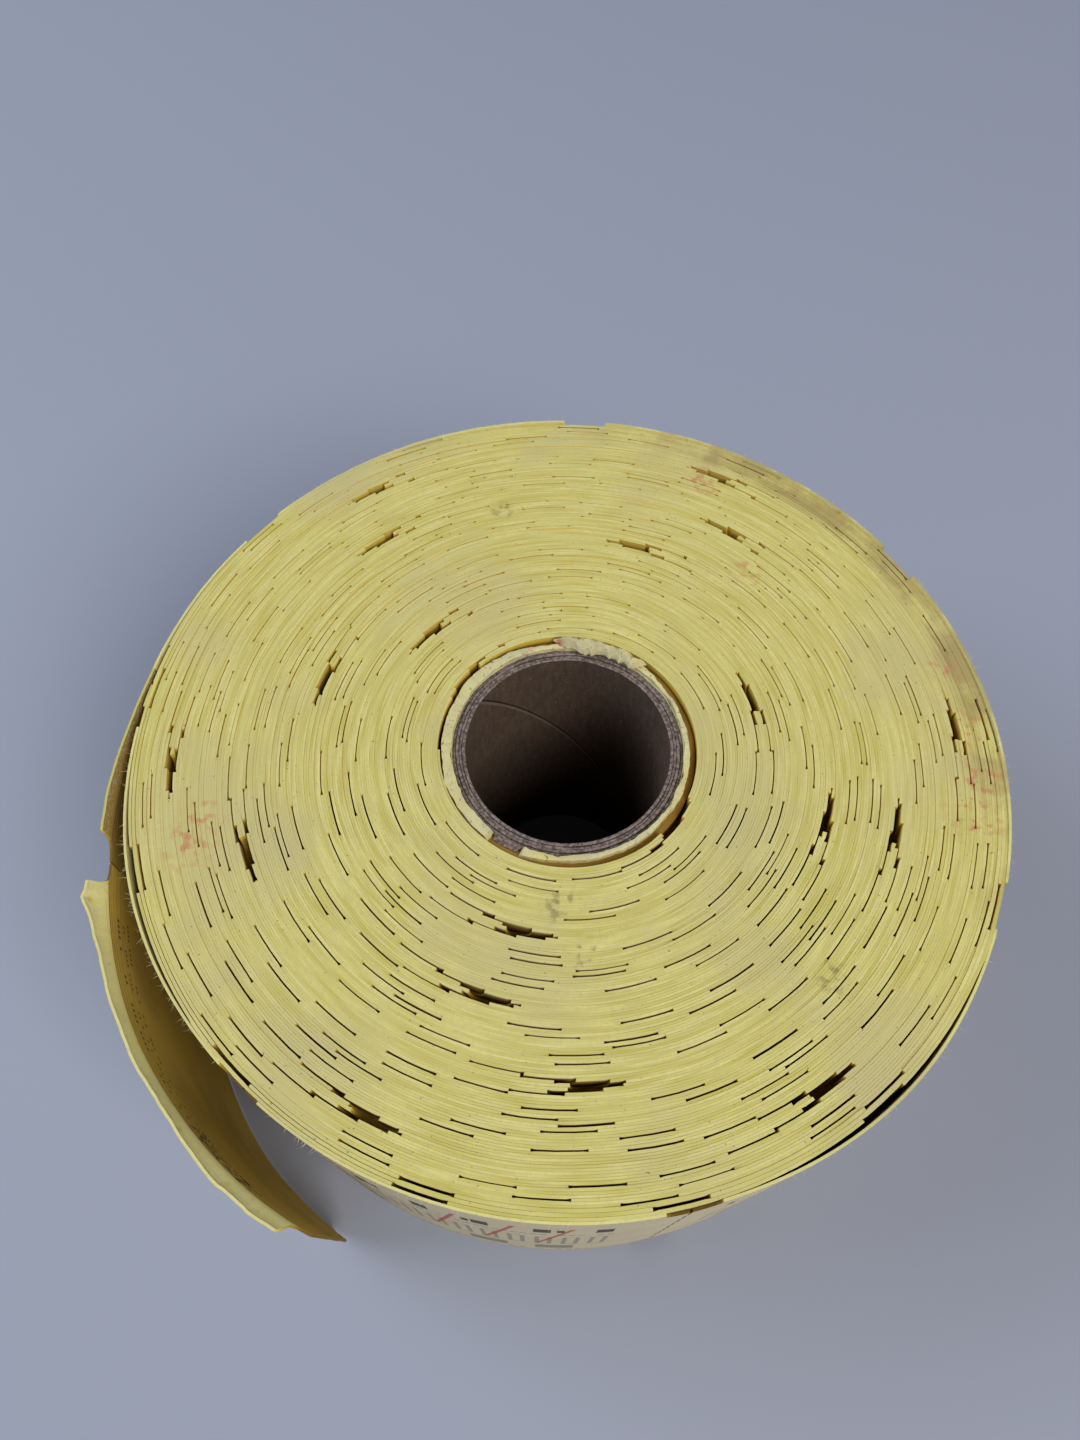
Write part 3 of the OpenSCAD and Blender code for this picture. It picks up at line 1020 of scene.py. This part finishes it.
def ring_piece(name, node, material, inner, outer, top, bottom, columns=360, rows=14):
    """A tube whose inner and outer radius, top and bottom are functions of the angle in degrees.
    Its rim is a few rows of vertices, so that it can be rough."""
    angles = np.arange(columns) * 360 / columns
    r_in, r_out, high, low = inner(angles), outer(angles), top(angles), bottom(angles)
    profile = []
    for k in range(rows + 1):
        profile.append((r_in, low + (high - low) * k / rows))
    for share in (0.25, 0.5, 0.75):
        crown = 0.06 * math.sin(math.pi * share)
        profile.append((r_in + (r_out - r_in) * share, high + crown))
    for k in range(rows, -1, -1):
        profile.append((r_out, low + (high - low) * k / rows))
    points = []
    for radius, z in profile:
        x, y = polar(angles, radius)
        points.append(np.stack([x, y, np.broadcast_to(z, x.shape)], 1))
    points = np.concatenate(points)
    faces = []
    for ring in range(len(profile)):
        following = (ring + 1) % len(profile)
        for i in range(columns):
            j = (i + 1) % columns
            here, there = ring * columns, following * columns
            faces.append((here + i, there + i, there + j, here + j))
    piece = make_piece(name, points, faces, "roll", node, [material])
    set_tone(piece, np.full(len(points), 0.5))
    return piece


def around(angles, scale, seed):
    """Noise that closes on itself round the axis"""
    a = np.radians(angles)
    return wobbles(np.cos(a) * scale, np.sin(a) * scale, np.full_like(a, seed))


def level(value):
    """The same value all the way round"""
    return lambda a: np.full_like(a, value)


def make_core():
    shades = [rgb(98, 80, 66), rgb(92, 78, 66), rgb(112, 96, 82), rgb(100, 85, 72)]
    drops = [0.05, 0.2, 0.08, 0.28]
    inner_r = BORE_R
    for number, node in enumerate(PLIES):
        outer_r = outer_radius(node)
        board = board_material(node + "_board", shades[number], seam=number == 0)

        def inner(a, base=inner_r, n=number):
            return base + (0.0 if n == 0 else 0.05 * around(a, 2.0, n * 3.0) + 0.02)

        def outer(a, base=outer_r, n=number):
            return base - 0.03 + 0.05 * around(a, 2.0, (n + 1) * 3.0) * (n < len(PLIES) - 1)

        def top(a, n=number):
            rough = 0.22 * around(a, 4.0, n + 20.0) + 0.16 * around(a, 22.0, n + 30.0)
            return CORE_TOP - 0.12 - drops[n] + rough * 0.6

        def bottom(a, n=number):
            return 0.06 + 0.05 * around(a, 12.0, n + 50.0)

        ring_piece(node + "_tube", node, board, inner, outer, top, bottom, rows=10)
        inner_r = outer_r


def make_glue():
    """The glue stripe keeps its CAD shape, with a material of its own"""
    frame["nodes"]["core_glue_stripe"].material_slots[0].material = glue_material()


BITE_ANGLE = 240.0  # where the collar's top edge is torn away
BITE_DEPTH = 1.5


def from_bite(a):
    """Degrees round the axis from the middle of the bite"""
    return np.abs((a - BITE_ANGLE + 180) % 360 - 180)


def make_starter():
    def bite(a):
        return BITE_DEPTH * (1 - smoothstep((from_bite(a) - 6.5) / 3.0))

    def wide(a):
        """1 on the left, where the collar has been pressed out over the gap"""
        return smoothstep(np.cos(np.radians(a - 185)) * 1.6 - 0.1)

    def inner(a):
        rough = 0.3 * around(a, 5.0, 61.0) + 0.12 * around(a, 18.0, 69.0)
        return CORE_R + 0.1 + rough + 0.25 * smoothstep(bite(a))

    def outer(a):
        rough = 0.3 * around(a, 4.0, 62.0) + 0.14 * around(a, 14.0, 67.0)
        return COLLAR_R - 0.3 + rough + 0.65 * wide(a)

    def top(a):
        ragged = 0.22 * around(a, 6.0, 63.0) + 0.12 * around(a, 25.0, 64.0)
        return STRIP_W - 0.15 + ragged * 0.8 - bite(a)

    def bottom(a):
        return 0.3 + 0.2 * around(a, 6.0, 65.0)

    ring_piece("starter_collar_paper", "starter_collar", STARTER, inner, outer, top, bottom, 540)
    inner_turn = ring_piece(
        "starter_collar_inner_turn", None, STARTER,
        level(CORE_R + 0.02),
        level(CORE_R + 0.16),
        lambda a: STRIP_W - 0.75 + 0.35 * around(a, 5.0, 66.0) - bite(a) * 0.4,
        level(0.3), 540,
    )
    # A ring of painted shade that fills the gap between the collar and the wound card
    gap_fill = ring_piece(
        "starter_collar_loose_turn", None, GAP_SHADE,
        level(COLLAR_R - 0.6),
        level(PACK_START_R - 0.02),
        lambda a: STRIP_W - 1.1 + 0.3 * around(a, 4.0, 68.0),
        level(0.6), 360,
    )
    board_chip()
    make_flap()


def board_chip():
    """A torn bit of core board that shows where the starter paper is bitten away"""

    def edge(a):
        return 1 - smoothstep((from_bite(a) - 5.5) / 2.5)

    chip = ring_piece(
        "core_ply_outer_chip", None, CHIP_BOARD,
        level(CORE_R - 0.1),
        lambda a: CORE_R + (0.8 + 0.15 * around(a, 20.0, 70.0)) * edge(a),
        lambda a: CORE_TOP - 0.5 + (0.2 + 0.3 * around(a, 30.0, 71.0)) * edge(a),
        level(CORE_TOP - 4.0), 540, 4,
    )


FLAP_ANGLES = (50.0, 97.0)  # the stretch of the rim that the flap stands on
FLAP_T = 0.16


def make_flap():
    """The crumpled end of the starter paper, folded in over the outer plies of the core"""
    columns, rows = 90, 16
    first, last = FLAP_ANGLES
    share = np.linspace(0, 1, columns)[:, None] * np.ones((1, rows))
    up = np.ones((columns, 1)) * np.linspace(0, 1, rows)[None, :]
    flat = np.zeros_like(up)
    angle = first + (last - first) * share
    ends = np.clip(share * (1 - share) * 9, 0.05, 1)
    jagged = 1 + 0.5 * wobbles(share * 6, 1.5, flat) + 0.16 * wobbles(share * 19, 2.5, flat)
    crumple = wobbles(share * 10, up * 2.2, flat) * 0.5
    crumple += wobbles(share * 26, up * 5, np.full_like(up, 3.0)) * 0.28
    radius = COLLAR_R + 0.4 - 2.2 * up * ends * jagged + 0.5 * crumple * up
    z = STRIP_W - 0.25 + (1.75 * np.sin(2.8 * up) + 1.5 * crumple * np.sin(3.0 * up)) * ends**0.7
    z = np.minimum(z, top_of("starter_flap") - 0.15)
    x, y = polar(angle, radius)
    points, faces = [], []
    for thick in (0.0, -FLAP_T):
        points.append(np.stack([x, y, z + thick], -1).reshape(-1, 3))
    points = np.concatenate(points)
    count = columns * rows
    for i in range(columns - 1):
        for j in range(rows - 1):
            a, b, c, d = i * rows + j, (i + 1) * rows + j, (i + 1) * rows + j + 1, i * rows + j + 1
            faces.append((a, b, c, d))
            faces.append((d + count, c + count, b + count, a + count))
    rim = rim_of(columns, rows)
    for a, b in zip(rim, rim[1:] + rim[:1]):
        p, q = a[0] * rows + a[1], b[0] * rows + b[1]
        faces.append((p + count, q + count, q, p))
    flap = make_piece("starter_flap_paper", points, faces, "roll", "starter_flap", [STARTER])
    set_tone(flap, np.full(len(points), 0.5))


# ---------------------------------------------------------------- stage, light and camera


def make_stage():
    mesh = bpy.data.meshes.new("table")
    half = 3.0
    corners = [(-half, -half, 0), (half, -half, 0), (half, half, 0), (-half, half, 0)]
    mesh.from_pydata(corners, [], [(0, 1, 2, 3)])
    table = bpy.data.objects.new("table", mesh)
    bpy.context.collection.objects.link(table)
    nodes = Nodes("table", roughness=0.55, specular=0.3)
    mesh.materials.append(nodes.finish(rgb(163, 168, 184)))


def add_light(name, azimuth, elevation, size, power, color):
    """A square lamp that looks at the roll. Azimuth 0 is in front, 90 on the right."""
    lamp = bpy.data.lights.new(name, "AREA")
    lamp.size = size
    lamp.energy = power
    lamp.color = color
    item = bpy.data.objects.new(name, lamp)
    bpy.context.collection.objects.link(item)
    a, e = math.radians(azimuth), math.radians(elevation)
    away = Vector((math.sin(a) * math.cos(e), -math.cos(a) * math.cos(e), math.sin(e)))
    item.location = away * 1.0 + Vector((0, 0, 0.05))
    item.rotation_mode = "QUATERNION"
    item.rotation_quaternion = away.to_track_quat("Z", "Y")


def make_light():
    world = bpy.data.worlds.new("room")
    bpy.context.scene.world = world
    world.use_nodes = True
    tree = world.node_tree
    background = tree.nodes["Background"]
    background.inputs["Strength"].default_value = 0.42
    # The ceiling is darker than the walls, so little light falls straight into the bore.
    place = tree.nodes.new("ShaderNodeTexCoord")
    split = tree.nodes.new("ShaderNodeSeparateXYZ")
    height = tree.nodes.new("ShaderNodeMapRange")
    height.inputs["From Min"].default_value = 0.55
    height.inputs["From Max"].default_value = 0.95
    color = tree.nodes.new("ShaderNodeMix")
    color.data_type = "RGBA"
    color.inputs[6].default_value = (0.80, 0.86, 1.0, 1.0)
    color.inputs[7].default_value = (0.07, 0.07, 0.075, 1.0)
    tree.links.new(place.outputs["Generated"], split.inputs[0])
    tree.links.new(split.outputs["Z"], height.inputs["Value"])
    tree.links.new(height.outputs["Result"], color.inputs[0])
    tree.links.new(color.outputs[2], background.inputs["Color"])
    add_light("key", 40, 46, 0.5, 6.0, (1.0, 0.97, 0.92))
    add_light("window", -105, 38, 0.7, 5.4, (0.80, 0.89, 1.0))


def make_camera():
    """Stands where the photograph was taken from: above the front, looking steeply down"""
    elevation, roll = math.radians(61.4), 0.015
    forward = Vector((0, math.cos(elevation), -math.sin(elevation)))
    up_slope = Vector((0, math.sin(elevation), math.cos(elevation)))
    right = Vector((math.cos(roll), 0, 0)) + up_slope * math.sin(roll)
    up = right.cross(forward)
    camera = bpy.data.objects.new("camera", bpy.data.cameras.new("camera"))
    bpy.context.collection.objects.link(camera)
    place = Vector((-3.5, -61.0, STRIP_W + 118.4)) * MM
    rotation = Matrix((right, up, -forward)).transposed()
    camera.matrix_world = Matrix.Translation(place) @ rotation.to_4x4()
    camera.data.sensor_width = 36.0
    camera.data.lens = 27.0
    camera.data.clip_start = 0.005
    bpy.context.scene.camera = camera
    bpy.context.scene.view_settings.view_transform = "Standard"


make_core()
make_glue()
make_starter()
wind_roll()
make_outer_turn()
make_peeled_end()
make_fibres()
make_stage()
make_light()
make_camera()
